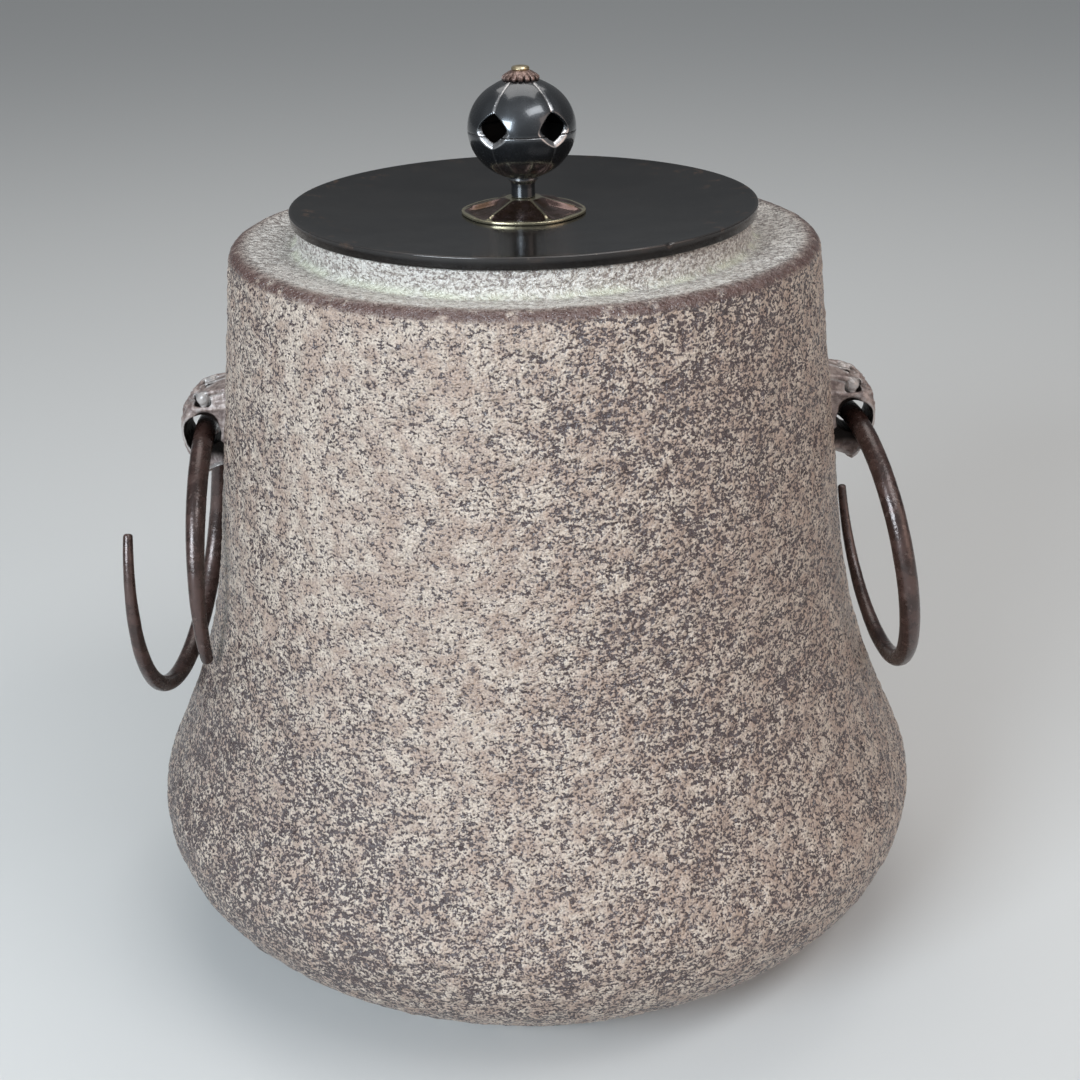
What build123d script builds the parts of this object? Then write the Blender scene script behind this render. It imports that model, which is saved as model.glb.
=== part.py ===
from build123d import *
import os
from math import cos, pi, radians, sin, sqrt, tan

# Tea-ceremony kettle in cast iron: a flared kettle body with two cast-in ring lugs, a loose
# open ring in each lug, and a lift-off bronze lid with a hollow ball knob.
# Millimetres. +Z is up, the origin is the centre of the base, -Y is the front, and the lugs
# stand on the X axis, left at -X.

# ---- Kettle body: the outer outline from the base upward ----
underside_slope = 50.1            # degrees from vertical, from the base out to the belly
belly_centre_r = 99.6
belly_centre_z = 45.0
belly_radius = 24.8               # above the widest line
underbelly_radius = 32.5          # below the widest line, where the curve is slower
skirt_slope = 25.6                # degrees from vertical, where the flare leaves the belly
skirt_top_z = 63.7                # the flare's straight part ends here
flare_radius = 218.6              # the concave sweep between skirt and upper wall
wall_slope = 6.6                  # degrees from vertical, upper wall
shoulder_crest_z = 224.4
shoulder_corner_radius = 4.5
shoulder_foot_z = 221.7           # the shoulder dips towards the neck
neck_radius = 67.5
neck_top_z = 229.6
neck_fillet = 2.4
mouth_radius = 63.5
wall = 4.0
bottom_thickness = 5.0

# ---- Sounding irons: thin plates bedded on the inside of the bottom ----
iron_length = 32.0
iron_width = 13.0
iron_thickness = 1.8
iron_circle_radius = 44.0

# ---- Lid ----
lid_radius = 69.3
lid_foot_radius = 68.9            # the rim draws in slightly towards its lower edge
lid_edge_thickness = 3.7
lid_dish = 4.0                    # the top is this much lower in the middle
lid_centre_thickness = 2.8
flange_radius = 62.2
flange_width = 2.6
flange_depth = 4.2
plate_radius = 18.5               # petal plate under the knob
plate_height = 4.6
washer_radius = 8.0
washer_thickness = 1.0

# ---- Knob ----
stem_radius = 3.6
collar_radius = 4.6
spigot_radius = 2.4               # the stem inside the plate, the lid and the washer
rod_radius = 1.6                  # the stem inside the ball
tail_radius = 4.0                 # peened over under the lid
tail_height = 1.3
running_clearance = 0.05
ball_centre_z = 254.2
ball_radius = 15.9
ball_half_height = 14.6
ball_wall = 1.3
ball_seam_z = 253.8
ball_foot_z = 240.2               # flat land that stands on the stem's collar
ball_crown_z = 268.0              # flat land under the rosette
opening_count = 5
first_opening_angle = -124.0      # degrees from +X
opening_centre_z = 255.0
opening_half_width = 5.4
opening_half_height = 4.4
rosette_radius = 5.5
rosette_thickness = 2.7           # at its crown
rosette_rim_thickness = 1.1
scallop_count = 16
button_radius = 2.7
button_socket = 0.6               # depth of the button's hole over the rod
overall_height = 272.0

# ---- Lugs: sizes of the right one, the left one mirrors it ----
lug_width = 20.0                  # along Y
lug_edge_rounding = 1.2
lug_hole_x = 100.8
lug_hole_z = 165.0
throat_radius = 4.7
mouth_radius_high = 6.4           # the trumpet round the throat's own axis
mouth_radius_low = 6.6            # a second trumpet, lower, where the bent wire leaves the lug
low_trumpet_drop = 0.9
root_depth = 2.4                  # how far the lug's root is cast into the wall
root_width = 12.0
root_height = 22.0

# ---- Rings: open hand-bent coils of tapered wire ----
ring_seat_x = 100.8
ring_seat_z = 164.3               # centre of the wire in the lug
wire_radius = 3.25
outer_tip_radius = 1.5
inner_tip_radius = 1.9
outer_taper = 190.0               # degrees of turn over which the outer end thins
inner_taper = 105.0
degrees_per_section = 12.0
# A turn is 0 in the lug and grows towards the front. The lead is the coil's rise per turn
# towards +X. The ring hangs with a swing about Y and a yaw about Z.
left_ring = {"seat_x": -ring_seat_x, "radius": 43.2, "lead": 20.0, "swing": 4.5, "yaw": -1.4,
             "outer_end": -300.0, "inner_end": 116.0}
right_ring = {"seat_x": ring_seat_x, "radius": 42.0, "lead": 8.0, "swing": -8.0, "yaw": 6.2,
              "outer_end": 268.0, "inner_end": -125.0}


def at_slope(centre, radius, slope):
    """Point of an arc at which the outline leans by slope degrees from vertical."""
    return (centre[0] + radius * cos(radians(slope)), centre[1] + radius * sin(radians(slope)))


belly_centre = (belly_centre_r, belly_centre_z)
underbelly_centre = (belly_centre_r + belly_radius - underbelly_radius, belly_centre_z)
belly_top = at_slope(belly_centre, belly_radius, skirt_slope)
skirt_top_r = belly_top[0] - (skirt_top_z - belly_top[1]) * tan(radians(skirt_slope))
flare_centre = at_slope((skirt_top_r, skirt_top_z), flare_radius, skirt_slope)
flare_top = at_slope(flare_centre, -flare_radius, wall_slope)


def wall_r(z):
    """Outer radius of the straight upper wall at a height."""
    return flare_top[0] - (z - flare_top[1]) * tan(radians(wall_slope))


def kettle_form(inset, floor_z, roof_inset, opening_radius, top_z):
    """Solid of revolution of the kettle outline, moved inward by inset."""
    belly_r = belly_radius - inset
    flare_r = -(flare_radius + inset)
    underbelly_r = underbelly_radius - inset
    belly_low = at_slope(underbelly_centre, underbelly_r, -underside_slope)
    underbelly_mid = at_slope(underbelly_centre, underbelly_r, -underside_slope / 2)
    widest = at_slope(belly_centre, belly_r, 0)
    belly_mid = at_slope(belly_centre, belly_r, skirt_slope / 2)
    belly_high = at_slope(belly_centre, belly_r, skirt_slope)
    flare_low = at_slope(flare_centre, flare_r, skirt_slope)
    flare_mid = at_slope(flare_centre, flare_r, (skirt_slope + wall_slope) / 2)
    flare_high = at_slope(flare_centre, flare_r, wall_slope)
    crest_z = shoulder_crest_z - roof_inset
    foot_z = shoulder_foot_z - roof_inset
    crest_r = flare_high[0] - (crest_z - flare_high[1]) * tan(radians(wall_slope))
    floor_r = belly_low[0] - (belly_low[1] - floor_z) * tan(radians(underside_slope))
    with BuildSketch(Plane.XZ) as outline:
        with BuildLine():
            Line((0, floor_z), (floor_r, floor_z))
            Line((floor_r, floor_z), belly_low)
            ThreePointArc(belly_low, underbelly_mid, widest)
            ThreePointArc(widest, belly_mid, belly_high)
            Line(belly_high, flare_low)
            ThreePointArc(flare_low, flare_mid, flare_high)
            Line(flare_high, (crest_r, crest_z))
            Line((crest_r, crest_z), (opening_radius, foot_z))
            Line((opening_radius, foot_z), (opening_radius, top_z))
            Line((opening_radius, top_z), (0, top_z))
            Line((0, top_z), (0, floor_z))
        make_face()
        crest = outline.vertices().sort_by_distance((crest_r, crest_z))[0]
        fillet(crest, shoulder_corner_radius)
        foot = outline.vertices().sort_by_distance((opening_radius, foot_z))[0]
        fillet(foot, neck_fillet)
    return revolve(outline.sketch, Axis.Z)


def turned(points):
    """Solid turned about Z from a closed outline of (radius, height) corners."""
    with BuildSketch(Plane.XZ) as outline:
        with BuildLine():
            Polyline(*points, close=True)
        make_face()
    return revolve(outline.sketch, Axis.Z)


def make_kettle_body(outer, roots):
    above_mouth = neck_top_z + 1
    cavity = kettle_form(wall, bottom_thickness, wall, mouth_radius, above_mouth)
    body = outer - cavity
    lip = body.edges().filter_by(GeomType.CIRCLE).sort_by(Axis.Z)[-2:]
    body = fillet(lip, 1.2)
    for root in roots:
        body -= root
    return body


def make_sounding_iron(angle):
    blank = extrude(RectangleRounded(iron_length, iron_width, 3), iron_thickness)
    return Rotation(0, 0, angle) * Pos(iron_circle_radius, 0, bottom_thickness) * blank


def lug_root():
    """The root of the right lug, which sits in the kettle wall."""
    standing_proud = 0.9
    length = root_depth + standing_proud
    block = Box(length, root_width, root_height)
    block = fillet(block.edges().filter_by(Axis.X), 3)
    centre_x = wall_r(lug_hole_z) + standing_proud - length / 2
    return Pos(centre_x, 0, lug_hole_z) * Rotation(0, -wall_slope, 0) * block


def lug_mask():
    """The mask of the right lug: brow, nose, lip, chin and jaw in side outline."""
    inside_wall = 91.0
    with BuildSketch(Plane.XZ) as outline:
        with BuildLine():
            Spline((inside_wall, 180.8), (98.0, 178.5), (104.6, 174.2), (108.4, 169.4))
            Line((108.4, 169.4), (107.8, 166.4))
            Spline((107.8, 166.4), (107.6, 161.4), (105.6, 157.0), (102.6, 152.4))
            Spline((102.6, 152.4), (100.6, 150.9), (98.2, 152.6))
            Line((98.2, 152.6), (inside_wall, 155.0))
            Line((inside_wall, 155.0), (inside_wall, 180.8))
        make_face()
    mask = extrude(outline.sketch, lug_width / 2, both=True)
    side_rims = [
        edge
        for edge in mask.edges()
        if abs(abs(edge.center().Y) - lug_width / 2) < 0.01 and edge.center().X > inside_wall + 1
    ]
    return fillet(side_rims, lug_edge_rounding)


def trumpet(throat, mouth, drop):
    """A round hole from front to back that widens from throat to mouth, drop below the hole axis."""
    half = lug_width / 2 + 0.5
    with BuildSketch(Plane.XY) as outline:
        with BuildLine():
            low = (mouth, -half)
            high = (mouth, half)
            ThreePointArc(low, (throat, 0), high)
            Polyline(high, (0, half), (0, -half), low)
        make_face()
    return Pos(lug_hole_x, 0, lug_hole_z - drop) * revolve(outline.sketch, Axis.Y)


def lug_hole():
    """The hole from front to back, drawn out upward and down towards the wall at each mouth."""
    scoop_y = lug_width / 2 + 1.3
    low_scoop_radius = 6.0
    high_scoop_radius = 4.7
    hole = trumpet(throat_radius, mouth_radius_high, 0)
    hole += trumpet(throat_radius - low_trumpet_drop, mouth_radius_low, low_trumpet_drop)
    for side in (-1, 1):
        hole += Pos(98.4, side * scoop_y, 158.0) * Sphere(low_scoop_radius)
        hole += Pos(99.4, side * scoop_y, 168.0) * Sphere(high_scoop_radius)
    return hole


def make_lug(outer, root):
    return lug_mask() - outer - lug_hole() + root


def ring_point(ring, turn):
    """Centre of the wire of a ring at a turn in degrees."""
    x = ring["lead"] * turn / 360
    y = -ring["radius"] * sin(radians(turn))
    z = ring["radius"] * (cos(radians(turn)) - 1)
    swung = Vector(x, y, z).rotate(Axis.Y, ring["swing"]).rotate(Axis.Z, ring["yaw"])
    return Vector(ring["seat_x"], 0, ring_seat_z) + swung


def wire_radius_at(ring, turn):
    from_outer = min(1.0, abs(turn - ring["outer_end"]) / outer_taper)
    from_inner = min(1.0, abs(turn - ring["inner_end"]) / inner_taper)
    outer = outer_tip_radius + (wire_radius - outer_tip_radius) * sin(pi / 2 * from_outer)
    inner = inner_tip_radius + (wire_radius - inner_tip_radius) * sin(pi / 2 * from_inner)
    return min(outer, inner)


def make_ring(ring):
    first = min(ring["outer_end"], ring["inner_end"])
    last = max(ring["outer_end"], ring["inner_end"])
    count = round((last - first) / degrees_per_section)
    middle = (ring_point(ring, 0) + ring_point(ring, 180)) / 2
    sections = []
    for i in range(count + 1):
        turn = first + (last - first) * i / count
        point = ring_point(ring, turn)
        along = ring_point(ring, turn + 1) - ring_point(ring, turn - 1)
        section = Plane(point, x_dir=point - middle, z_dir=along)
        sections.append(section * Circle(wire_radius_at(ring, turn)))
    return loft(sections)


def lid_top_z(r):
    """Height of the lid's dished top at a radius."""
    sphere = (lid_radius**2 + lid_dish**2) / (2 * lid_dish)
    rim_z = neck_top_z + lid_edge_thickness
    return rim_z - lid_dish + sphere - sqrt(sphere**2 - r**2)


lid_underside_z = lid_top_z(0) - lid_centre_thickness
plate_foot_z = lid_top_z(plate_radius)
plate_top_z = plate_foot_z + plate_height


def make_lid_plate():
    rim_z = neck_top_z + lid_edge_thickness
    flange_inside = flange_radius - flange_width
    under_rim_z = neck_top_z
    with BuildSketch(Plane.XZ) as outline:
        with BuildLine():
            half = lid_radius / 2
            ThreePointArc((0, lid_top_z(0)), (half, lid_top_z(half)), (lid_radius, rim_z))
            side = (lid_radius - 0.1, rim_z - lid_edge_thickness / 2)
            ThreePointArc((lid_radius, rim_z), side, (lid_foot_radius, under_rim_z))
            Polyline(
                (lid_foot_radius, under_rim_z),
                (flange_radius, under_rim_z),
                (flange_radius, under_rim_z - flange_depth),
                (flange_inside, under_rim_z - flange_depth),
                (flange_inside, under_rim_z),
            )
            dip = (flange_inside / 2, lid_top_z(flange_inside / 2) - lid_centre_thickness)
            ThreePointArc((flange_inside, under_rim_z), dip, (0, lid_underside_z))
            Line((0, lid_underside_z), (0, lid_top_z(0)))
        make_face()
    bore = Pos(0, 0, lid_top_z(0)) * Cylinder(spigot_radius + running_clearance, 20)
    return revolve(outline.sketch, Axis.Z) - bore


def make_knob_base_plate():
    bore_r = spigot_radius + running_clearance
    hollow_height = 1.4
    return turned([
        (bore_r, plate_foot_z),
        (bore_r, plate_top_z),
        (5.2, plate_top_z),
        (10.0, plate_foot_z + 3.3),
        (15.0, plate_foot_z + 2.0),
        (plate_radius, plate_foot_z + 0.8),
        (plate_radius, plate_foot_z),
        (plate_radius - 1.2, plate_foot_z),
        (plate_radius - 7.0, plate_foot_z + hollow_height),
        (6.0, plate_foot_z + hollow_height),
        (6.0, plate_foot_z),
    ])


def make_under_washer():
    bore_r = spigot_radius + running_clearance
    washer_top = lid_underside_z
    return turned([
        (bore_r, washer_top - washer_thickness),
        (bore_r, washer_top),
        (washer_radius, washer_top),
        (washer_radius, washer_top - washer_thickness),
    ])


def make_knob_stem():
    """One rod from the peened tail under the lid to the button on top of the ball."""
    tail_top = lid_underside_z - washer_thickness - running_clearance
    shoulder = plate_top_z + running_clearance
    rod_top = ball_crown_z + rosette_thickness + button_socket
    return turned([
        (0, tail_top - tail_height),
        (tail_radius - 1.2, tail_top - tail_height),
        (tail_radius, tail_top - 0.3),
        (tail_radius, tail_top),
        (spigot_radius, tail_top),
        (spigot_radius, shoulder),
        (stem_radius, shoulder),
        (stem_radius, ball_foot_z - 1.6),
        (collar_radius, ball_foot_z - 0.6),
        (collar_radius, ball_foot_z),
        (rod_radius, ball_foot_z),
        (rod_radius, rod_top),
        (0, rod_top),
    ])


def hollow_ball():
    """The whole ball before it is parted at the seam, with its openings and rod holes."""
    tall = ball_half_height / ball_radius
    inner_tall = (ball_half_height - ball_wall) / (ball_radius - ball_wall)
    outer = scale(Sphere(ball_radius), (1, 1, tall))
    inner = scale(Sphere(ball_radius - ball_wall), (1, 1, inner_tall))
    ball = Pos(0, 0, ball_centre_z) * (outer - inner)
    foot_cut = Pos(0, 0, ball_foot_z) * Box(60, 60, 20, align=(Align.CENTER, Align.CENTER, Align.MAX))
    crown_cut = Pos(0, 0, ball_crown_z) * Box(60, 60, 20, align=(Align.CENTER, Align.CENTER, Align.MIN))
    rod_hole = Pos(0, 0, ball_centre_z) * Cylinder(rod_radius, 60)
    ball = ball - foot_cut - crown_cut - rod_hole
    for i in range(opening_count):
        angle = first_opening_angle + i * 360 / opening_count
        with BuildSketch(Plane.YZ) as lozenge:
            with BuildLine():
                Polyline(
                    (opening_half_width, 0),
                    (0, opening_half_height),
                    (-opening_half_width, 0),
                    (0, -opening_half_height),
                    close=True,
                )
            make_face()
        window = extrude(lozenge.sketch, ball_radius + 2)
        ball -= Rotation(0, 0, angle) * Pos(0, 0, opening_centre_z) * window
    return ball


def make_knob_shells():
    ball = hollow_ball()
    tall = 40
    below = Pos(0, 0, ball_seam_z) * Box(60, 60, tall, align=(Align.CENTER, Align.CENTER, Align.MAX))
    return ball & below, ball - below


def make_knob_rosette():
    scallop_radius = 0.95
    ring_radius = rosette_radius - scallop_radius
    with BuildSketch() as flower:
        Circle(ring_radius)
        with PolarLocations(ring_radius, scallop_count):
            Circle(scallop_radius)
        Circle(rod_radius, mode=Mode.SUBTRACT)
    petals = Pos(0, 0, ball_crown_z) * extrude(flower.sketch, rosette_thickness)
    dome_reach = 6.0
    dome = turned([
        (0, ball_crown_z),
        (0, ball_crown_z + rosette_thickness),
        (button_radius, ball_crown_z + rosette_thickness),
        (dome_reach, ball_crown_z + rosette_rim_thickness),
        (dome_reach, ball_crown_z),
    ])
    return petals & dome


def make_knob_button():
    foot_z = ball_crown_z + rosette_thickness
    hole_top = foot_z + button_socket
    return turned([
        (rod_radius, foot_z),
        (button_radius - 0.2, foot_z),
        (button_radius, foot_z + 0.5),
        (button_radius - 0.5, overall_height - 0.3),
        (button_radius - 1.5, overall_height),
        (0, overall_height),
        (0, hole_top),
        (rod_radius, hole_top),
    ])


def make_all():
    outer = kettle_form(0, 0, 0, neck_radius, neck_top_z)
    right_root = lug_root()
    left_root = mirror(right_root, Plane.YZ)
    right_lug = make_lug(outer, right_root)
    lower_shell, upper_shell = make_knob_shells()
    return {
        "kettle_body": make_kettle_body(outer, [left_root, right_root]),
        "sounding_iron_back": make_sounding_iron(90),
        "sounding_iron_left": make_sounding_iron(210),
        "sounding_iron_right": make_sounding_iron(330),
        "lug_left": mirror(right_lug, Plane.YZ),
        "lug_right": right_lug,
        "ring_left": make_ring(left_ring),
        "ring_right": make_ring(right_ring),
        "lid_plate": make_lid_plate(),
        "knob_base_plate": make_knob_base_plate(),
        "under_washer": make_under_washer(),
        "knob_stem": make_knob_stem(),
        "knob_lower_shell": lower_shell,
        "knob_upper_shell": upper_shell,
        "knob_rosette": make_knob_rosette(),
        "knob_button": make_knob_button(),
    }


os.makedirs("parts", exist_ok=True)
for name, part in make_all().items():
    export_step(part, f"parts/{name}.step")
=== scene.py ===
"""Looks of the tea-ceremony kettle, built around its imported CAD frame.

Shapes are worked out in millimetres in the row frame (+Z up, -Y front, lugs on X) and written
to Blender in metres. Each piece has a shape function, and each finish has a material function.
"""
import math
import bpy
import numpy as np
from mathutils import Matrix, Vector


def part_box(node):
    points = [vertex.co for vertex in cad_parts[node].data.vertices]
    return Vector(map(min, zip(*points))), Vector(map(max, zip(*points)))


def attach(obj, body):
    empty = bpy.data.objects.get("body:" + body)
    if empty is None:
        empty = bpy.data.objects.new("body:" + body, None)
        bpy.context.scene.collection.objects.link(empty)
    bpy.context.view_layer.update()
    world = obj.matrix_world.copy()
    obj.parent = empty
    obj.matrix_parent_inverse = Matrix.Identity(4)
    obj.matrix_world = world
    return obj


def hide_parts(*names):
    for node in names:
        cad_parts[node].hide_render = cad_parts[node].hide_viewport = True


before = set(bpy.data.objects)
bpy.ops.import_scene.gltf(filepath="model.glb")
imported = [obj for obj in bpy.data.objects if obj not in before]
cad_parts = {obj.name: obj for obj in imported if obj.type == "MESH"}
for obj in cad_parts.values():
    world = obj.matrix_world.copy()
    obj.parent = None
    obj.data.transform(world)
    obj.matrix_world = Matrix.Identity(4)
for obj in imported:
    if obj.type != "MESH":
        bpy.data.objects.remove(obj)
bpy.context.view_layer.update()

MM = 0.001


def cad_box(node):
    """Lowest and highest corner of a CAD node in millimetres."""
    low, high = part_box(node)
    return np.array(low) / MM, np.array(high) / MM


# ---- Sizes read from the frame ----
_, kettle_high = cad_box("kettle_body")
_, lid_high = cad_box("lid_plate")
plate_low, plate_high = cad_box("knob_base_plate")
stem_low, stem_high = cad_box("knob_stem")
lower_low, _ = cad_box("knob_lower_shell")
_, upper_high = cad_box("knob_upper_shell")
rosette_low, rosette_high = cad_box("knob_rosette")
button_low, button_high = cad_box("knob_button")

# ---- Kettle body outline, the same construction as the CAD ----
UNDERSIDE_SLOPE = 50.1            # degrees from vertical
BELLY_CENTRE = (99.6, 45.0)
BELLY_RADIUS = 24.8
UNDERBELLY_RADIUS = 32.5          # below the widest line
SKIRT_SLOPE = 25.6
SKIRT_TOP_Z = 63.7
FLARE_RADIUS = 218.6
WALL_SLOPE = 6.6
SHOULDER_CREST_Z = 224.4
SHOULDER_FOOT_Z = 221.7
SHOULDER_CORNER = 4.5
NECK_RADIUS = 67.5
NECK_FILLET = 2.4
NECK_TOP_Z = kettle_high[2]
MOUTH_RADIUS = 63.5
WALL = 4.0
FLOOR_Z = 5.0
FOOT_ROUNDING = 1.6               # where the base meets the underside
LIP_ROUNDING = 1.0
INNER_ROUNDING = 3.0              # under the neck, inside
POLE_RADIUS = 0.6                 # where the turned skin is closed by a fan
INSIDE_SPACING = 5.0
MEAN_PIT = 0.42                   # depth of the rough skin's middle below the smooth outline
SOUNDING_IRON_R = 44.0

# ---- Rings and lugs, the same construction as the CAD ----
RING_SEAT_Z = 164.3
RINGS = {
    "ring_left": {"seat_x": -100.8, "radius": 43.2, "lead": 20.0, "swing": 4.5, "yaw": -1.4,
                  "outer_end": -300.0, "inner_end": 116.0},
    "ring_right": {"seat_x": 100.8, "radius": 42.0, "lead": 8.0, "swing": -8.0, "yaw": 6.2,
                   "outer_end": 268.0, "inner_end": -125.0},
}
WIRE_RADIUS = 3.25
OUTER_TIP_RADIUS = 1.5
INNER_TIP_RADIUS = 1.9
OUTER_TAPER = 190.0
INNER_TAPER = 105.0
TIP_LENGTH = 0.9                  # over which each cut end is rounded
LUG_HOLE = (100.8, 165.0)         # x and z of the hole's axis
LUG_HALF_WIDTH = 10.0
THROAT_RADIUS = 4.7
MOUTH_RADIUS_HIGH = 6.4
MOUTH_RADIUS_LOW = 6.6
LOW_TRUMPET_DROP = 0.9
EYE = (99.3, 7.5, 176.0)
EYE_RADIUS = 2.35
RAISED = 1                        # ways in which a feature joins the mask
CARVED = -1

# ---- Knob ----
ROD_RADIUS = 1.6
BALL_CENTRE_Z = 254.2
BALL_RADIUS = 15.9
BALL_HALF_HEIGHT = 14.6
BALL_WALL = 1.3
BALL_SEAM_Z = 253.8
OPENINGS = 5
FOLD_ANGLE = math.radians(-124.0)  # one of the folds between openings
OPENING_CENTRE_Z = 255.0
OPENING_HALF_WIDTH = 5.5
OPENING_ABOVE = 5.3               # its half heights above and below its widest line
OPENING_BELOW = 4.3


# ======================= numbers and meshes =======================

LATTICE_PRIMES = (73856093, 19349663, 83492791)
SEED_PRIME = 2654435
MIXING = ((1274126177, 13), (668265263, 15))


def axis_distance(points):
    return np.hypot(points[:, 0], points[:, 1])


def lattice_noise(points, size, seed=0):
    """Smooth random values in -1..1 at points, with features about size apart."""
    q = np.asarray(points, float) / size
    cell = np.floor(q).astype(np.int64)
    f = q - cell
    f = f * f * f * (f * (f * 6 - 15) + 10)
    total = np.zeros(len(q))
    for corner in range(8):
        step = np.array([corner & 1, (corner >> 1) & 1, (corner >> 2) & 1])
        h = np.bitwise_xor.reduce((cell + step) * LATTICE_PRIMES, axis=1) ^ (seed * SEED_PRIME)
        for prime, shift in MIXING:
            h = ((h ^ (h >> shift)) * prime) & 0xFFFFFFFF
        h = (h >> 12) & 0xFFFF
        weight = np.prod(np.where(step == 1, f, 1 - f), axis=1)
        total += weight * (h / 32767.5 - 1)
    return total


def layered_noise(points, size, layers, seed=0):
    """Sum of lattice noise at halving sizes and strengths."""
    total = np.zeros(len(points))
    for i in range(layers):
        total += lattice_noise(points, size / 2**i, seed + 17 * i) / 2**i
    return total


def eased(edge0, edge1, x):
    t = np.clip((x - edge0) / (edge1 - edge0), 0, 1)
    return t * t * (3 - 2 * t)


def blend_min(a, b, k):
    """Smaller of two fields, with a fillet of size k between them."""
    h = np.clip(0.5 + 0.5 * (b - a) / k, 0, 1)
    return b * (1 - h) + a * h - k * h * (1 - h)


def blend_max(a, b, k):
    return -blend_min(-a, -b, k)


def arc_points(centre, radius, start, end, count):
    """Points of an arc, by the angle from +r in degrees."""
    angles = np.radians(np.linspace(start, end, count))
    return [(centre[0] + radius * math.cos(a), centre[1] + radius * math.sin(a)) for a in angles]


def rounded(points, radii, steps=8):
    """Outline through corner points, each inner corner turned into an arc of its radius."""
    points = [np.array(p, float) for p in points]
    out = [points[0]]
    for before, corner, after, radius in zip(points, points[1:], points[2:], radii):
        length_a = np.linalg.norm(before - corner)
        length_b = np.linalg.norm(after - corner)
        a = (before - corner) / length_a
        b = (after - corner) / length_b
        half = math.acos(float(np.clip(a @ b, -1, 1))) / 2
        if radius < 1e-3 or abs(half - math.pi / 2) < 1e-3:
            out.append(corner)
            continue
        reach = min(radius / math.tan(half), 0.49 * length_a, 0.49 * length_b)
        radius = reach * math.tan(half)
        centre = corner + (a + b) / np.linalg.norm(a + b) * radius / math.sin(half)
        start = corner + a * reach - centre
        end = corner + b * reach - centre
        sweep = math.acos(float(np.clip(start @ end / radius**2, -1, 1)))
        for share in np.linspace(0, 1, steps + 1):
            turned = start * math.sin((1 - share) * sweep) + end * math.sin(share * sweep)
            out.append(centre + turned / math.sin(sweep))
    out.append(points[-1])
    return np.array(out)


def resampled(outline, spacing):
    """Outline with a point about every spacing along each of its straight or curved runs."""
    outline = np.asarray(outline, float)
    out = [outline[0]]
    for a, b in zip(outline, outline[1:]):
        count = max(1, int(math.ceil(np.linalg.norm(b - a) / spacing)))
        out += [a + (b - a) * i / count for i in range(1, count + 1)]
    return np.array(out)


def turned_points(outline, turns):
    """Points of an outline (r, z) turned about Z, row after row."""
    angles = np.arange(turns) * 2 * math.pi / turns
    r = outline[:, 0][:, None]
    x = r * np.cos(angles)
    y = r * np.sin(angles)
    z = np.repeat(outline[:, 1][:, None], turns, axis=1)
    return np.stack([x, y, z], axis=-1).reshape(-1, 3)


def row_quads(rows, columns, loop=False):
    """Quads of a grid whose columns close into a ring; with loop its rows close too."""
    i = np.arange(rows if loop else rows - 1)[:, None]
    j = np.arange(columns)[None, :]
    k = (j + 1) % columns
    up = (i + 1) % rows
    corners = [i * columns + j, i * columns + k, up * columns + k, up * columns + j]
    return np.stack(corners, -1).reshape(-1, 4)


def capped(points, rows, columns):
    """Grid points closed by a fan at each end: points, quads and triangles."""
    first = points[:columns].mean(axis=0)
    last = points[-columns:].mean(axis=0)
    n = len(points)
    j = np.arange(columns)
    k = (j + 1) % columns
    end = (rows - 1) * columns
    low = np.stack([np.full(columns, n), k, j], -1)
    high = np.stack([np.full(columns, n + 1), end + j, end + k], -1)
    return np.vstack([points, first, last]), row_quads(rows, columns), np.vstack([low, high])


def surface_of(field, low, high, cell):
    """Points and quads of the zero surface of a field that is negative inside."""
    axes = [np.arange(a, b + cell, cell) for a, b in zip(low, high)]
    grid = np.stack(np.meshgrid(*axes, indexing="ij"), axis=-1)
    shape = np.array(grid.shape[:3])
    value = field(grid.reshape(-1, 3)).reshape(shape)
    cells = shape - 1
    total = np.zeros((*cells, 3))
    count = np.zeros(cells)

    def part(array, offset):
        return array[tuple(slice(o, o + c) for o, c in zip(offset, cells))]

    corners = [(i & 1, (i >> 1) & 1, (i >> 2) & 1) for i in range(8)]
    for a in corners:
        for axis in range(3):
            if a[axis]:
                continue
            b = tuple(c + (i == axis) for i, c in enumerate(a))
            va = part(value, a)
            vb = part(value, b)
            crossed = (va < 0) != (vb < 0)
            t = (va / np.where(crossed, va - vb, 1))[..., None]
            point = part(grid, a) * (1 - t) + part(grid, b) * t
            total += np.where(crossed[..., None], point, 0)
            count += crossed
    active = count > 0
    index = np.full(cells, -1)
    index[active] = np.arange(active.sum())
    points = total[active] / count[active][:, None]
    quads = []
    for axis in range(3):
        u = (axis + 1) % 3
        v = (axis + 2) % 3
        near = [slice(1, s - 1) for s in shape]
        near[axis] = slice(0, shape[axis] - 1)
        far = list(near)
        far[axis] = slice(1, shape[axis])
        va = value[tuple(near)]
        vb = value[tuple(far)]
        at = np.argwhere((va < 0) != (vb < 0))
        rising = va[tuple(at.T)] < 0
        base = at + [0 if i == axis else 1 for i in range(3)]
        ring = []
        for du, dv in ((1, 1), (0, 1), (0, 0), (1, 0)):
            c = base.copy()
            c[:, u] -= du
            c[:, v] -= dv
            ring.append(index[tuple(c.T)])
        ring = np.stack(ring, -1)
        ring[~rising] = ring[~rising][:, ::-1]
        quads.append(ring)
    return settled(points, field, cell), np.vstack(quads)


def field_slope(points, field, h):
    """Slope of a field along each axis, by differences over h either way."""
    return np.stack([(field(points + h * e) - field(points - h * e)) / (2 * h) for e in np.eye(3)], -1)


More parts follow.
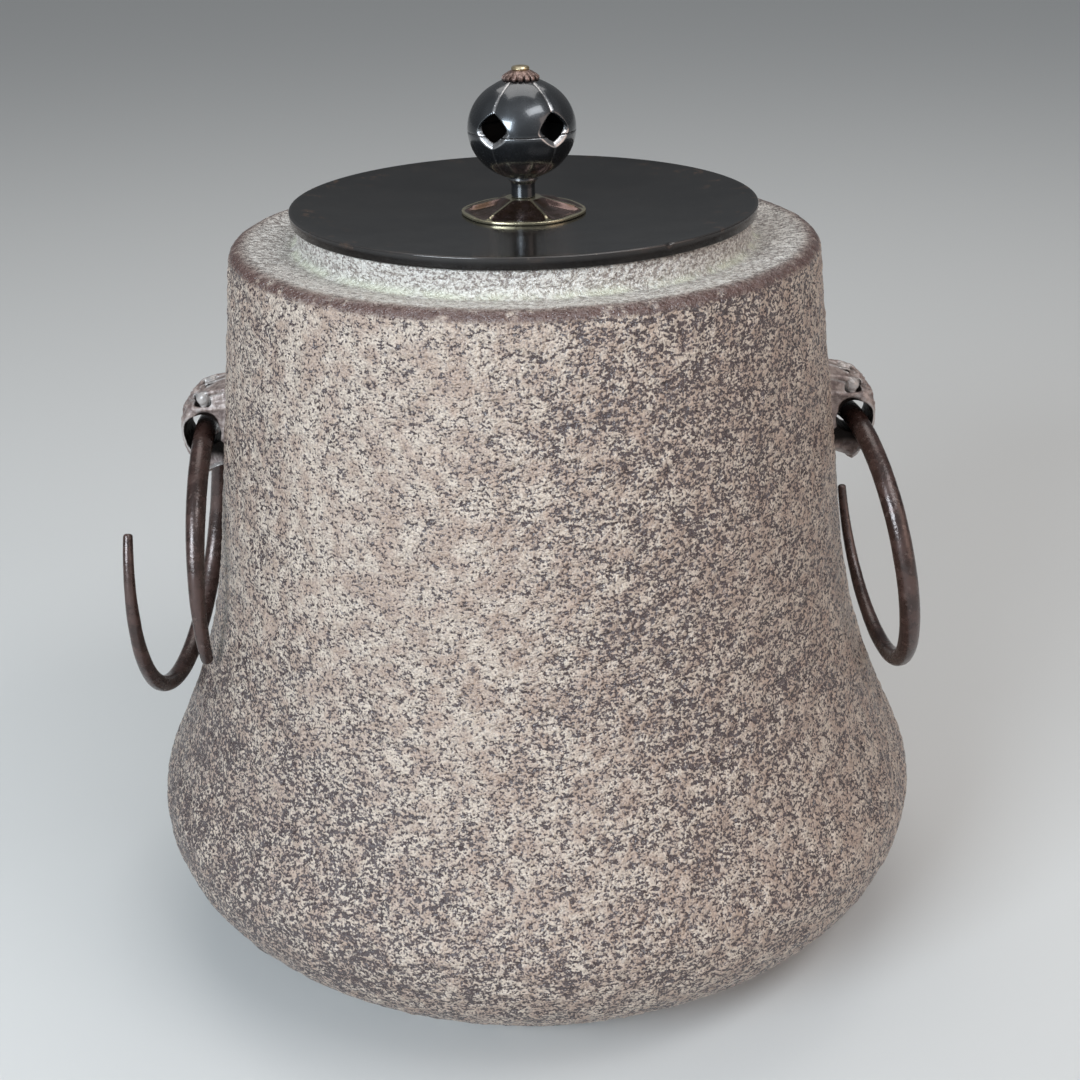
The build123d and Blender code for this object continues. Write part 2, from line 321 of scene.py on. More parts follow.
def settled(points, field, cell):
    """Points moved onto the zero surface by two short steps down the field."""
    for _ in range(2):
        slope = field_slope(points, field, 0.05 * cell)
        step = field(points)[:, None] * slope / np.maximum((slope**2).sum(1), 0.05)[:, None]
        length = np.linalg.norm(step, axis=1)
        step *= np.minimum(1, 0.35 * cell / np.maximum(length, 1e-9))[:, None]
        points = points - step
    return points


def outline_distance(points, corners):
    """Signed distance to a closed 2-D outline, negative inside."""
    best = np.full(len(points), 1e9)
    inside = np.zeros(len(points), bool)
    for a, b in zip(corners, np.roll(corners, -1, axis=0)):
        edge = b - a
        w = points - a
        t = np.clip((w @ edge) / (edge @ edge), 0, 1)
        best = np.minimum(best, ((w - t[:, None] * edge) ** 2).sum(1))
        crosses = (a[1] <= points[:, 1]) != (b[1] <= points[:, 1])
        rise = b[1] - a[1] if abs(b[1] - a[1]) > 1e-9 else 1e-9
        inside ^= crosses & (points[:, 0] < (b[0] - a[0]) * (points[:, 1] - a[1]) / rise + a[0])
    return np.where(inside, -1, 1) * np.sqrt(best)


def curve_through(corners, count):
    """Points of a smooth curve through corners."""
    corners = np.asarray(corners, float)
    padded = np.vstack([2 * corners[0] - corners[1], corners, 2 * corners[-1] - corners[-2]])
    t = (np.arange(count) / count)[:, None]
    out = []
    for a, b, c, d in zip(padded, padded[1:], padded[2:], padded[3:]):
        bend = (2 * a - 5 * b + 4 * c - d) * t**2 + (3 * b - a - 3 * c + d) * t**3
        out.append(b + 0.5 * ((c - a) * t + bend))
    return np.vstack(out + [corners[-1:]])


def outward(points, quads, tris):
    """Faces turned so that the closed surface faces outward."""
    both = np.vstack([quads[:, [0, 1, 2]], quads[:, [0, 2, 3]], tris])
    a, b, c = (points[both[:, i]] for i in range(3))
    if (a * np.cross(b, c)).sum() < 0:
        return quads[:, ::-1], tris[:, ::-1]
    return quads, tris


def placed(name, data):
    """A new object in the scene that holds data."""
    made = bpy.data.objects.new(name, data)
    bpy.context.scene.collection.objects.link(made)
    return made


def new_piece(name, node, body, finish, points, quads, tris=None, values=None):
    """A smooth mesh, given in millimetres, that rides on a body and stands for a CAD node.
    finish names its material. values maps the name of a per-point
    number, which the material reads, to its numbers."""
    tris = np.zeros((0, 3), int) if tris is None else tris
    quads, tris = outward(points, quads, tris)
    mesh = bpy.data.meshes.new(name)
    mesh.from_pydata(points * MM, [], quads.tolist() + tris.tolist())
    mesh.shade_smooth()
    for key, numbers in (values or {}).items():
        stored = mesh.attributes.new(key, "FLOAT", "POINT")
        stored.data.foreach_set("value", numbers.astype(np.float32))
    mesh.materials.append(finishes[finish])
    piece = placed(name, mesh)
    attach(piece, body)
    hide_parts(node)


# ======================= finishes =======================

class Nodes:
    """A node tree, built up one node at a time. A value is a number, a colour or another node's output."""

    def __init__(self, tree):
        self.tree = tree

    def put(self, socket, value):
        if isinstance(value, bpy.types.NodeSocket):
            self.tree.links.new(value, socket)
        elif socket.type == "RGBA" and not isinstance(value, float):
            socket.default_value = (*value, 1)
        else:
            socket.default_value = value

    def node(self, kind, output, inputs, **options):
        """The output of a new node whose inputs are set or linked."""
        made = self.tree.nodes.new(kind)
        for key, value in options.items():
            setattr(made, key, value)
        for key, value in inputs.items():
            self.put(made.inputs[key], value)
        return made.outputs[output]

    def math(self, operation, a, b, clamp=False):
        return self.node("ShaderNodeMath", 0, {0: a, 1: b}, operation=operation, use_clamp=clamp)

    def plus(self, a, b):
        return self.math("ADD", a, b)

    def minus(self, a, b):
        return self.math("SUBTRACT", a, b)

    def times(self, a, b):
        return self.math("MULTIPLY", a, b)

    def span(self, value, low, high, out_low=0.0, out_high=1.0, easing="SMOOTHSTEP"):
        """value carried from low..high to out_low..out_high."""
        inputs = {"Value": value, "From Min": low, "From Max": high, "To Min": out_low, "To Max": out_high}
        return self.node("ShaderNodeMapRange", "Result", inputs, interpolation_type=easing)


class Finish(Nodes):
    """A material whose patterns are laid out in the row frame."""

    def __init__(self, name):
        self.material = bpy.data.materials.new(name)
        self.material.use_nodes = True
        super().__init__(self.material.node_tree)
        self.place = self.node("ShaderNodeTexCoord", "Object", {})

    def finished(self, **values):
        """The material, once the inputs of its shader are set or linked."""
        for key, value in values.items():
            self.put(self.tree.nodes["Principled BSDF"].inputs[key.replace("_", " ")], value)
        return self.material

    def stretched(self, scale, turn):
        """Coordinates turned and scaled along each axis, to draw a pattern out."""
        inputs = {"Vector": self.place, "Scale": scale, "Rotation": turn}
        return self.node("ShaderNodeMapping", "Vector", inputs)

    def noise(self, size_mm, detail=2.0, rough=0.5, place=None, twist=0.0):
        """Cloudy numbers around 0.5 with features size_mm across."""
        inputs = {"Vector": place or self.place, "Scale": 1 / (size_mm * MM), "Detail": detail}
        inputs.update({"Roughness": rough, "Distortion": twist})
        return self.node("ShaderNodeTexNoise", "Fac", inputs)

    def cells(self, size_mm):
        """Distance from the nearest of scattered points about size_mm apart."""
        inputs = {"Vector": self.place, "Scale": 1 / (size_mm * MM)}
        return self.node("ShaderNodeTexVoronoi", "Distance", inputs)

    def stored(self, key):
        """A per-point number of the mesh."""
        return self.node("ShaderNodeAttribute", "Fac", {}, attribute_name=key)

    def blend(self, share, a, b):
        """Colour a where share is 0 and b where it is 1."""
        return self.node("ShaderNodeMix", 2, {"Factor": share, 6: a, 7: b}, data_type="RGBA")

    def mottled(self, size_mm, detail, rough, a, b):
        """Two colours in soft clouds size_mm across."""
        return self.blend(self.span(self.noise(size_mm, detail, rough), 0.35, 0.65), a, b)

    def relief(self, height, depth_mm, over=None):
        """Bump of a height in 0..1 that stands for depth_mm."""
        inputs = {"Height": height, "Distance": depth_mm * MM}
        if over is not None:
            inputs["Normal"] = over
        return self.node("ShaderNodeBump", "Normal", inputs)


def kettle_iron():
    """Cast iron skin: ochre patina on the grain over purple-brown iron, worn smooth on the crest, with broad
    painted sheen and painted shade, and its shoulder top painted paler, partly as light from above.
    """
    f = Finish("kettle_iron")
    drift = f.stretched((0.85, 0.85, 1.3), (0.0, 0.35, 0.0))
    blobs = f.noise(1.35, 2.0, 0.6, drift, 0.2)
    grain = f.noise(0.62, 1.0, 0.5)
    clouds = f.noise(30, 2.5, 0.6)
    patches = f.noise(8, 2.0, 0.6, drift)
    streaks = f.noise(4.0, 2.0, 0.6, f.stretched((0.45, 0.45, 1.7), (0.0, 0.35, 0.0)))
    mixed = f.plus(f.times(blobs, 0.62), f.times(grain, 0.38))
    level = f.plus(f.times(clouds, 0.08), f.times(patches, 0.10))
    level = f.plus(level, f.times(streaks, 0.12))
    # The stored number adds broad painted sheen and painted shade, and more iron in the pits.
    level = f.plus(level, f.stored("ochre_and_painted_light"))
    edge = f.plus(mixed, f.minus(level, 0.15))
    ochre = f.span(edge, 0.440, 0.540)
    dark = f.blend(f.noise(5, 2), (0.033, 0.018, 0.020), (0.072, 0.044, 0.042))
    pale = f.mottled(6, 2, 0.5, (0.455, 0.332, 0.258), (0.615, 0.507, 0.415))
    pale = f.blend(f.span(grain, 0.35, 0.65), f.blend(0.5, pale, (0.17, 0.12, 0.11)), pale)
    skin = f.blend(ochre, dark, pale)
    # The shoulder's flat top is painted paler: partly its own paler grey-tan, partly painted light from
    # above.
    ledge = f.stored("ledge")
    pale_top_and_painted_light = f.blend(f.span(mixed, 0.40, 0.58), (0.33, 0.285, 0.260), (0.77, 0.745, 0.70))
    skin = f.blend(f.times(ledge, 0.8), skin, pale_top_and_painted_light)
    crest = f.blend(f.noise(3, 3), (0.060, 0.028, 0.024), (0.15, 0.085, 0.072))
    worn = f.times(f.stored("crest"), f.span(f.noise(4, 2.5), 0.26, 0.46))
    skin = f.blend(worn, skin, crest)
    lime = f.times(f.stored("lime"), f.span(f.noise(9, 3), 0.30, 0.6))
    skin = f.blend(f.times(lime, 0.8), skin, (0.66, 0.66, 0.52))
    inside = f.blend(f.noise(7, 3), (0.045, 0.032, 0.028), (0.13, 0.075, 0.045))
    skin = f.blend(f.stored("inside"), skin, inside)
    rough = f.span(ochre, 0, 1, 0.27, 0.44)
    rough = f.minus(rough, f.times(f.math("MAXIMUM", worn, ledge), 0.14))
    height = f.plus(f.times(mixed, 0.75), f.times(f.noise(0.4, 1.0), 0.25))
    lumps = f.relief(f.noise(3.2, 2.0, 0.55, drift), 1.6)
    return f.finished(
        Base_Color=skin, Roughness=rough, Normal=f.relief(height, 1.5, lumps),
        Specular_IOR_Level=1.0,
    )


def lug_iron():
    """Cast mask iron: pinkish grey-tan, with painted shade near black in its hollows and hole, and rubbed
    high points that are paler, partly wear and partly painted highlight.
    """
    f = Finish("lug_iron")
    base = f.mottled(2.2, 3, 0.6, (0.15, 0.105, 0.095), (0.37, 0.295, 0.265))
    # Painted shade: hollows and the inside of the hole go near black.
    hollow = f.stored("hollow")
    skin = f.blend(hollow, base, (0.012, 0.009, 0.008))
    # Rubbed high points paler: partly wear, partly painted highlight.
    skin = f.blend(f.times(f.stored("rub_and_painted_highlight"), 0.75), skin, (0.46, 0.43, 0.41))
    grain = f.noise(0.8, 2.5, 0.6)
    # Painted shade also dulls the reflection in the hollows.
    shine = f.minus(0.9, f.times(hollow, 0.8))
    return f.finished(
        Base_Color=skin, Roughness=f.span(f.stored("rub_and_painted_highlight"), 0, 1, 0.42, 0.22), Metallic=0.25,
        Specular_IOR_Level=shine, Normal=f.relief(grain, 0.30),
    )


def ring_iron():
    """Forged wire: dark red-brown satin iron with soft mottling, rubbed spots and fine pits."""
    f = Finish("ring_iron")
    mottle = f.noise(6, 4, 0.6)
    skin = f.blend(f.span(mottle, 0.35, 0.65), (0.030, 0.014, 0.011), (0.072, 0.037, 0.030))
    worn = f.span(f.noise(2.5, 3, 0.7), 0.56, 0.72)
    skin = f.blend(f.times(worn, 0.5), skin, (0.17, 0.12, 0.105))
    pits = f.noise(0.9, 3, 0.6)
    return f.finished(
        Base_Color=skin, Roughness=f.span(mottle, 0.3, 0.7, 0.20, 0.34), Metallic=0.35,
        Specular_IOR_Level=1.0, Normal=f.relief(pits, 0.12),
    )


def plain_iron():
    """Rust-brown iron of the sounding irons inside the kettle."""
    f = Finish("plain_iron")
    mottle = f.noise(4, 4, 0.65)
    skin = f.blend(f.span(mottle, 0.35, 0.65), (0.040, 0.030, 0.027), (0.15, 0.085, 0.05))
    return f.finished(
        Base_Color=skin, Roughness=0.6, Metallic=0.4, Normal=f.relief(f.noise(1.0, 3), 0.3),
    )


def lid_bronze():
    """Dark patinated bronze: near black, with brown wear, fine specks, a hazy polish and a painted highlight
    round the rim.
    """
    f = Finish("lid_bronze")
    cloud = f.noise(16, 4, 0.6)
    skin = f.blend(f.span(cloud, 0.35, 0.65), (0.011, 0.010, 0.010), (0.019, 0.017, 0.016))
    spots = f.times(f.span(f.noise(5, 3, 0.65), 0.56, 0.70), f.stored("wear"))
    skin = f.blend(f.times(spots, 0.9), skin, (0.13, 0.072, 0.045))
    specks = f.span(f.cells(4.5), 0.055, 0.035)
    skin = f.blend(f.times(specks, 0.5), skin, (0.30, 0.25, 0.19))
    # Painted highlight: the rim's top edge is made paler grey.
    edge = f.stored("edge")
    skin = f.blend(f.times(edge, 0.5), skin, (0.12, 0.11, 0.105))
    haze = f.span(f.noise(9, 4, 0.65), 0.3, 0.7, 0.11, 0.19)
    fine = f.noise(0.6, 2, 0.6)
    return f.finished(
        Base_Color=skin, Metallic=0.55, Roughness=haze, Specular_IOR_Level=0.55,
        Normal=f.relief(fine, 0.010),
    )


def petal_brass():
    """Petal plate: pale brass ridges round copper-brown panels."""
    f = Finish("petal_brass")
    ridge = f.stored("ridge")
    panel = f.mottled(5, 3, 0.6, (0.085, 0.050, 0.032), (0.17, 0.115, 0.105))
    brass = f.blend(f.noise(3, 3), (0.50, 0.44, 0.28), (0.66, 0.60, 0.44))
    skin = f.blend(ridge, panel, brass)
    return f.finished(
        Base_Color=skin, Metallic=0.9, Roughness=f.span(f.noise(4, 3), 0.3, 0.7, 0.18, 0.30),
        Normal=f.relief(f.noise(0.7, 2), 0.015),
    )


def knob_bronze():
    """Polished black bronze, with the metal showing grey along folds and opening rims, partly wear and
    partly painted highlight, and its inside painted near black as shade.
    """
    f = Finish("knob_bronze")
    rub_and_painted_highlight = f.stored("rub_and_painted_highlight")
    black = f.blend(f.noise(6, 3), (0.052, 0.055, 0.060), (0.075, 0.079, 0.085))
    silver = f.blend(f.noise(1.5, 3), (0.36, 0.355, 0.36), (0.56, 0.545, 0.54))
    # Grey where the metal shows: partly wear, partly painted highlight.
    worn = f.times(rub_and_painted_highlight, f.span(f.noise(1.6, 3), 0.28, 0.5, 0.55, 1.0))
    skin = f.blend(worn, black, silver)
    # Painted shade: the inside of the ball and the rod in it are made near black and dull.
    deep = f.stored("deep")
    skin = f.blend(deep, skin, (0.010, 0.009, 0.009))
    shine = f.math("SUBTRACT", 0.7, f.times(deep, 0.7), clamp=True)
    return f.finished(
        Base_Color=skin, Metallic=f.span(rub_and_painted_highlight, 0, 1, 0.85, 0.95), Specular_IOR_Level=0.6,
        Coat_Weight=shine, Coat_Roughness=0.05, Normal=f.relief(f.noise(1.4, 2), 0.006),
        Roughness=f.plus(f.span(f.noise(3, 3), 0.3, 0.7, 0.22, 0.29), f.times(deep, 0.3)),
    )


def rosette_copper():
    """Copper of the scalloped washer, finely pitted, with painted shade in its notches and under its edge.
    """
    f = Finish("rosette_copper")
    pits = f.cells(0.55)
    skin = f.mottled(1.3, 3, 0.5, (0.11, 0.065, 0.052), (0.34, 0.235, 0.205))
    # Painted shade: the notches and the underside near the edge go dark.
    skin = f.blend(f.stored("hollow"), skin, (0.035, 0.022, 0.020))
    return f.finished(Base_Color=skin, Metallic=0.75, Roughness=0.38, Normal=f.relief(pits, 0.10))


def button_brass():
    """Rubbed pale brass of the button."""
    f = Finish("button_brass")
    skin = f.mottled(1.6, 3, 0.5, (0.42, 0.33, 0.19), (0.62, 0.53, 0.36))
    return f.finished(
        Base_Color=skin, Metallic=0.9, Roughness=0.30, Normal=f.relief(f.noise(0.5, 2), 0.02),
    )


# ======================= kettle =======================

def at_slope(centre, radius, slope):
    """Point of an arc where the outline leans by slope degrees from vertical."""
    a = math.radians(slope)
    return np.array((centre[0] + radius * math.cos(a), centre[1] + radius * math.sin(a)))


SKIRT_TAN = math.tan(math.radians(SKIRT_SLOPE))
WALL_TAN = math.tan(math.radians(WALL_SLOPE))
underbelly_centre = (BELLY_CENTRE[0] + BELLY_RADIUS - UNDERBELLY_RADIUS, BELLY_CENTRE[1])
belly_top = at_slope(BELLY_CENTRE, BELLY_RADIUS, SKIRT_SLOPE)
skirt_top = (belly_top[0] - (SKIRT_TOP_Z - belly_top[1]) * SKIRT_TAN, SKIRT_TOP_Z)
flare_centre = at_slope(skirt_top, FLARE_RADIUS, SKIRT_SLOPE)
flare_top = at_slope(flare_centre, -FLARE_RADIUS, WALL_SLOPE)


def wall_r(z):
    """Outer radius of the straight upper wall at a height."""
    return flare_top[0] - (z - flare_top[1]) * WALL_TAN


def side_outline(inset, floor_z, crest_z):
    """Side of the kettle from the floor to the shoulder crest, moved inward by inset."""
    underbelly_r = UNDERBELLY_RADIUS - inset
    low = at_slope(underbelly_centre, underbelly_r, -UNDERSIDE_SLOPE)
    floor_r = low[0] - (low[1] - floor_z) * math.tan(math.radians(UNDERSIDE_SLOPE))
    belly = arc_points(underbelly_centre, underbelly_r, -UNDERSIDE_SLOPE, 0, 30)
    belly += arc_points(BELLY_CENTRE, BELLY_RADIUS - inset, 0, SKIRT_SLOPE, 16)[1:]
    flare = arc_points(flare_centre, -(FLARE_RADIUS + inset), SKIRT_SLOPE, WALL_SLOPE, 50)
    crest_r = flare[-1][0] - (crest_z - flare[-1][1]) * WALL_TAN
    return [(floor_r, floor_z)] + belly + flare + [(crest_r, crest_z)]


def kettle_outline(step):
    """Closed outline of the casting, and how many of its points are on the outside."""
    outer = side_outline(0, 0, SHOULDER_CREST_Z)
    roof_z = SHOULDER_FOOT_Z - WALL
    top = [
        outer[-2],
        outer[-1],
        (NECK_RADIUS, SHOULDER_FOOT_Z),
        (NECK_RADIUS, NECK_TOP_Z),
        (MOUTH_RADIUS, NECK_TOP_Z),
        (MOUTH_RADIUS, roof_z),
    ]
    roof = rounded(top, [SHOULDER_CORNER, NECK_FILLET, LIP_ROUNDING, LIP_ROUNDING])
    foot = rounded([(POLE_RADIUS, 0), outer[0], outer[1]], [FOOT_ROUNDING])
    outside = resampled(np.vstack([foot[:-1], outer[1:-2], roof]), step)
    inner = side_outline(WALL, FLOOR_Z, SHOULDER_CREST_Z - WALL)[::-1]
    inner = np.array([(MOUTH_RADIUS, roof_z)] + inner)
    inner = np.vstack([rounded(inner[:3], [INNER_ROUNDING])[1:], inner[3:], [(POLE_RADIUS, FLOOR_Z)]])
    inner = resampled(inner, INSIDE_SPACING)[1:]
    return np.vstack([outside, inner]), len(outside)


def turned_normals(outline, points, turns):
    """Normals of a turned outline's points."""
    slope = np.gradient(outline, axis=0)
    slope /= np.linalg.norm(slope, axis=1)[:, None]
    across = points[:, :2] / axis_distance(points)[:, None]
    normal_r = np.repeat(slope[:, 1], turns)
    return np.column_stack([across * normal_r[:, None], np.repeat(-slope[:, 0], turns)])


def near_angle(angle, centre, none, full):
    """1 within full degrees of a centre angle, fading to 0 at none degrees from it."""
    return eased(none, full, np.abs((angle - centre + 180) % 360 - 180))


def kettle_ochre_and_painted_light(points, depth):
    """How much more ochre (+) or iron (-) shows at each point: broad stretches of painted sheen and painted
    shade, and the pits.
    """
    angle = np.degrees(np.arctan2(points[:, 1], points[:, 0]))
    z = points[:, 2]
    # Painted shade: darker on the upper front right, below the shoulder.
    ochre_and_painted_light = -0.035 * near_angle(angle, -62, 42, 8) * eased(172, 206, z) * (z < 223)
    # Painted shade: darker on the front right round mid height.
    ochre_and_painted_light -= 0.022 * near_angle(angle, -66, 34, 6) * eased(70, 30, np.abs(z - 140))
    # Painted sheen: paler towards the front left, more so higher up.
    ochre_and_painted_light += 0.025 * near_angle(angle, -106, 60, 20) * eased(40, 80, z)
    ochre_and_painted_light += 0.022 * near_angle(angle, -112, 34, 10) * eased(70, 120, z)
    # Painted shade: darker low on the back left, and a little darker towards the bottom all round.
    ochre_and_painted_light -= 0.040 * near_angle(angle, 200, 70, 28) * eased(130, 90, z)
    ochre_and_painted_light -= 0.008 * eased(140, 100, z)
    return ochre_and_painted_light - 0.05 * (depth - MEAN_PIT)


def make_kettle():
    """The whole casting as one closed turned skin with a rough face."""
    turns = 960
    outline, outside_rows = kettle_outline(1.15)
    points = turned_points(outline, turns)
    is_inside = np.repeat(np.arange(len(outline)), turns) >= outside_rows
    outside = ~is_inside
    r = axis_distance(points)
    z = points[:, 2]
    crest = eased(74, 84, r) * eased(221.5, 223.2, z) * outside
    shoulder = eased(66, 67, r) * eased(220.5, 221.6, z) * outside
    strength = 1.0 - 0.66 * crest - 0.62 * shoulder * (1 - crest)
    strength = np.where((z > 221.0) * (r < 69) * outside, 0.16, strength)
    strength = np.where((z < 1.5) * outside, 0.30, strength)
    strength = np.where(is_inside, 0.22 * eased(12, 30, z), strength)
    grain = layered_noise(points * (1, 1, 1.25), 3.4, 3, 11)
    swell = layered_noise(points, 22, 2, 5)
    dimples = np.maximum(0, lattice_noise(points * (1, 1, 1.2), 6.5, 3) - 0.15)
    depth = np.clip(MEAN_PIT - 0.30 * grain - 0.13 * swell + 0.45 * dimples, 0, 1.15)
    values = {
        "ochre_and_painted_light": kettle_ochre_and_painted_light(points, depth),
        "crest": eased(220.6, 222.0, z) * eased(81, 86.5, r) * outside,
        "lime": np.exp(-((r - 68.6) / 1.3) ** 2 - ((z - 222.4) / 1.6) ** 2) * outside,
        # ledge: the shoulder's flat top, painted paler partly as light from above.
        "ledge": eased(88, 80, r) * eased(220.5, 221.8, z) * outside,
        "inside": is_inside | (z > NECK_TOP_Z - 0.4) & (r < 65),
    }
    values = {key: np.append(v, [v[0], v[-1]]) for key, v in values.items()}
    points = points - turned_normals(outline, points, turns) * (depth * strength)[:, None]
    made, quads, tris = capped(points, len(outline), turns)
    new_piece("kettle_casting", "kettle_body", "kettle", "kettle_iron", made, quads, tris, values)


def make_sounding_iron(name, node, angle):
    """A thin hand-cut plate lying on the floor of the kettle."""
    length = 32.0
    width = 13.0
    thickness = 1.8
    corner = 3.0
    turn = math.radians(angle)

    def field(p):
        wobble = 0.15 * lattice_noise(p, 5, angle)
        qx = np.abs(p[:, 0]) - length / 2 + corner
        qy = np.abs(p[:, 1]) - width / 2 + corner
        flat = np.hypot(np.maximum(qx, 0), np.maximum(qy, 0)) + np.minimum(np.maximum(qx, qy), 0) - corner
        lift = np.abs(p[:, 2] - thickness / 2) - thickness / 2
        lift = lift + 0.12 * np.maximum(0, lattice_noise(p, 4, angle + 5))
        return blend_max(flat - wobble + 0.2, lift, 0.5)

    points, quads = surface_of(field, (-17, -7.5, -0.6), (17, 7.5, 2.4), 0.4)
    c = math.cos(turn)
    s = math.sin(turn)
    middle = np.array([SOUNDING_IRON_R * c, SOUNDING_IRON_R * s, FLOOR_Z])
    points = points @ np.array([[c, s, 0], [-s, c, 0], [0, 0, 1]]) + middle
    new_piece(name, node, "kettle", "plain_iron", points, quads)


def mask_side():
    """Side outline (x, z) of the right lug: brow, nose, lip and chin."""
    brow = [(90, 181.0), (95, 179.8), (98, 178.6), (101.5, 176.9), (103.6, 175.4)]
    nose = [(104.2, 174.7), (105.7, 172.8), (106.8, 170.9), (107.7, 169.5), (107.6, 168.2)]
    lip = [(107.6, 166.8), (107.9, 165.0), (107.5, 162.4), (106.7, 159.4), (105.4, 156.8)]
    chin = [(104.2, 154.8), (102.6, 152.5), (100.7, 151.1), (98.4, 152.7), (90, 155.2)]
    return np.vstack([curve_through(run, 5) for run in (brow, nose, lip, chin)])


def ball_field(p, centre, radius):
    return np.linalg.norm(p - np.array(centre), axis=1) - radius


def bar_field(p, a, b, radius):
    """Distance to a rounded bar from a to b."""
    a = np.array(a, float)
    along = np.array(b, float) - a
    t = np.clip(((p - a) @ along) / (along @ along), 0, 1)
    return np.linalg.norm(p - a - t[:, None] * along, axis=1) - radius


def chain_field(p, places, radius):
    """Distance to a ball at one place, or to a rounded bar that bends through several."""
    if len(places) == 1:
        return ball_field(p, places[0], radius)
    return np.minimum.reduce([bar_field(p, a, b, radius) for a, b in zip(places, places[1:])])


def trumpet_radius(y, throat, mouth):
    """Radius of the lug's hole at a distance from its middle."""
    half = LUG_HALF_WIDTH + 0.5
    sweep = (half**2 + (mouth - throat) ** 2) / (2 * (mouth - throat))
    return throat + sweep - np.sqrt(sweep**2 - np.minimum(np.abs(y), half) ** 2)


def hole_field(p):
    """The lug's hole: two trumpets, drawn out upward and down towards the wall at each mouth."""
    x = p[:, 0] - LUG_HOLE[0]
    y = np.abs(p[:, 1])
    z = p[:, 2] - LUG_HOLE[1]
    q = np.column_stack([p[:, 0], y, p[:, 2]])
    high = np.hypot(x, z) - trumpet_radius(y, THROAT_RADIUS, MOUTH_RADIUS_HIGH)
    low_throat = THROAT_RADIUS - LOW_TRUMPET_DROP
    low = np.hypot(x, z + LOW_TRUMPET_DROP) - trumpet_radius(y, low_throat, MOUTH_RADIUS_LOW)
    low_scoop = ball_field(q, (98.4, LUG_HALF_WIDTH + 1.3, 158.0), 6.0)
    high_scoop = ball_field(q, (99.4, LUG_HALF_WIDTH + 1.3, 168.0), 4.7)
    return np.minimum.reduce([high, low, low_scoop, high_scoop])


def upper_face():
    """Relief of brow, eye, cheek fold, nose, wrinkles and hair: way, radius, fillet, places."""
    eye_socket = (EYE[0] + 0.75, EYE[1] + 1.7, EYE[2] - 0.65)
    brow = [(92.0, 7.6, 178.7), (97.6, 8.2, 177.9), (101.6, 7.0, 176.8), (104.0, 3.6, 174.9)]
    cheek = [(92.0, 8.9, 173.2), (97.0, 9.0, 173.1), (102.6, 8.3, 172.9), (105.4, 6.0, 173.1)]
    relief = [
        (RAISED, 0.95, 0.7, brow),
        (CARVED, 2.95, 0.4, [eye_socket]),
        (RAISED, EYE_RADIUS, 0.25, [EYE]),
        (RAISED, 0.85, 0.7, cheek),
        (RAISED, 1.25, 0.9, [(102.6, 0, 175.9), (106.2, 0, 171.2)]),
        (RAISED, 1.75, 0.7, [(105.6, 2.5, 170.7)]),
    ]
    for k in range(2):
        z = 175.6 - 1.1 * k
        relief.append((CARVED, 0.34, 0.25, [(92.0, 9.6, z + 0.3), (96.0 - 0.6 * k, 9.5, z)]))
    for k in range(5):
        root = (92.0, 1.7 * k, 180.2 - 0.25 * k)
        relief.append((RAISED, 0.5, 0.35, [root, (99.6 - 0.6 * k, 0.4 + 1.6 * k, 178.1 - 0.35 * k)]))
    return relief


def lower_face():
    """Relief of lips, jaw, teeth and chin: way, radius, fillet, places."""
    upper_lip = [(106.7, 0, 168.2), (106.6, 4.0, 168.0), (106.0, 7.2, 168.6), (103.8, 8.7, 171.2)]
    jaw = [(106.6, 6.6, 167.6), (106.7, 6.4, 162.6), (105.6, 6.6, 158.4), (103.2, 6.0, 155.0)]
    relief = [(RAISED, 0.7, 0.45, upper_lip), (RAISED, 0.7, 0.5, jaw)]
    for k in range(4):
        y = 0.9 + 1.5 * k
        relief.append((RAISED, 0.66, 0.22, [(107.0, y, 166.6), (107.0, y, 164.9)]))
    return relief + [
        (CARVED, 0.5, 0.3, [(108.2, -1, 163.4), (107.6, 5.6, 163.3)]),
        (RAISED, 0.85, 0.6, [(106.2, 0, 161.0), (106.1, 4.2, 160.8)]),
        (RAISED, 2.1, 1.0, [(100.6, 4.8, 153.3)]),
    ]


def mask_field(p, outline, relief):
    """The right lug: a beast mask in relief, pierced from side to side, on its root in the wall."""
    q = p.copy()
    q[:, 1] = np.abs(q[:, 1])
    x, y, z = q.T
    crown = 0.020 * y**2 * eased(169, 175, z)
    side = outline_distance(np.column_stack([x, z + crown]), outline)
    half = 9.3 - 2.2 * eased(103.8, 108.4, x) - 0.9 * eased(174, 181, z)
    half -= 0.8 * eased(158, 151, z)
    d = blend_max(side + 0.30, y - half, 1.8)
    for way, radius, fillet, places in relief:
        shape = chain_field(q, places, radius)
        d = blend_min(d, shape, fillet) if way == RAISED else blend_max(d, -shape, fillet)
    hole = hole_field(q)
    d = blend_max(d, -hole, 0.4)
    out_of_wall = (np.hypot(x, y) - wall_r(z)) * math.cos(math.radians(WALL_SLOPE))
    boss = np.hypot(y / 9.6, (z - 167.0) / 14.0) * 9.6 - 9.6
    boss = blend_max(out_of_wall + 0.75, boss, 0.8)
    d = blend_min(d, blend_max(boss, -hole, 0.3), 0.9)
    return np.maximum(d, -(out_of_wall + 2.2))


